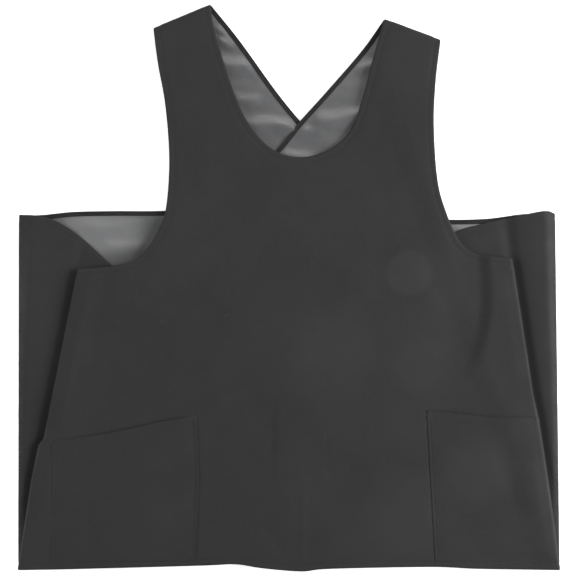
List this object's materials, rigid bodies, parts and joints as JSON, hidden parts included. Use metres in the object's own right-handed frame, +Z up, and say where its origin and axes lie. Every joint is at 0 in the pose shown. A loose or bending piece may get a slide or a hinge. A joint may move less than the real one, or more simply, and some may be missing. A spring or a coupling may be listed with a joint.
{
  "type": "lead apron",
  "caption": "Cross-back pull-over radiation protection apron laid flat, with layered cover, lead vinyl and lining, facing tapes, crossed straps and patch pockets.",
  "frame": {"origin": "on the table under the middle of the garment's bounding box, with the apron laid flat, front up", "axes": "+Z up out of the front, +Y from the hem towards the shoulders, +X to the right as seen from above"},
  "size_m": [0.8437, 0.881, 0.015],
  "materials": {
    "cover_cloth": "matte coated cloth",
    "satin_lining": "satin",
    "lead_vinyl": "matte",
    "interlining": "felt",
    "facing_tape": "matte woven tape"
  },
  "bodies": {
    "garment": {"front_cover": "cover_cloth", "front_hem_facing": "facing_tape", "front_lining": "satin_lining", "front_shield_inner_ply": "lead_vinyl", "front_shield_outer_ply": "lead_vinyl", "left_armhole_facing": "facing_tape", "left_back_centre_facing": "facing_tape", "left_back_cover": "cover_cloth", "left_back_hem_facing": "facing_tape", "left_back_lining": "satin_lining", "left_back_shield": "lead_vinyl", "left_back_top_facing": "facing_tape", "left_side_cover": "cover_cloth", "left_side_lining": "satin_lining", "left_side_shield": "lead_vinyl", "left_side_top_facing": "facing_tape", "left_strap_arm_facing": "facing_tape", "left_strap_cover": "cover_cloth", "left_strap_interlining": "interlining", "left_strap_lining": "satin_lining", "left_strap_neck_facing": "facing_tape", "neckline_facing": "facing_tape", "right_armhole_facing": "facing_tape", "right_back_centre_facing": "facing_tape", "right_back_cover": "cover_cloth", "right_back_hem_facing": "facing_tape", "right_back_lining": "satin_lining", "right_back_shield": "lead_vinyl", "right_back_top_facing": "facing_tape", "right_side_cover": "cover_cloth", "right_side_lining": "satin_lining", "right_side_shield": "lead_vinyl", "right_side_top_facing": "facing_tape", "right_strap_arm_facing": "facing_tape", "right_strap_cover": "cover_cloth", "right_strap_interlining": "interlining", "right_strap_lining": "satin_lining", "right_strap_neck_facing": "facing_tape"},
    "left_pocket": {"left_pocket": "cover_cloth", "left_pocket_mouth_tape": "facing_tape"},
    "right_pocket": {"right_pocket": "cover_cloth", "right_pocket_mouth_tape": "facing_tape"}
  },
  "joints": [
    {"name": "left_pocket_mouth", "type": "hinge", "parent": "garment", "child": "left_pocket", "pos_m": [-0.258, -0.4245, 0.0139], "axis": [1, 0, 0], "range_deg": [0, 12]},
    {"name": "right_pocket_mouth", "type": "hinge", "parent": "garment", "child": "right_pocket", "pos_m": [0.319, -0.4245, 0.0139], "axis": [1, 0, 0], "range_deg": [0, 12]}
  ]
}
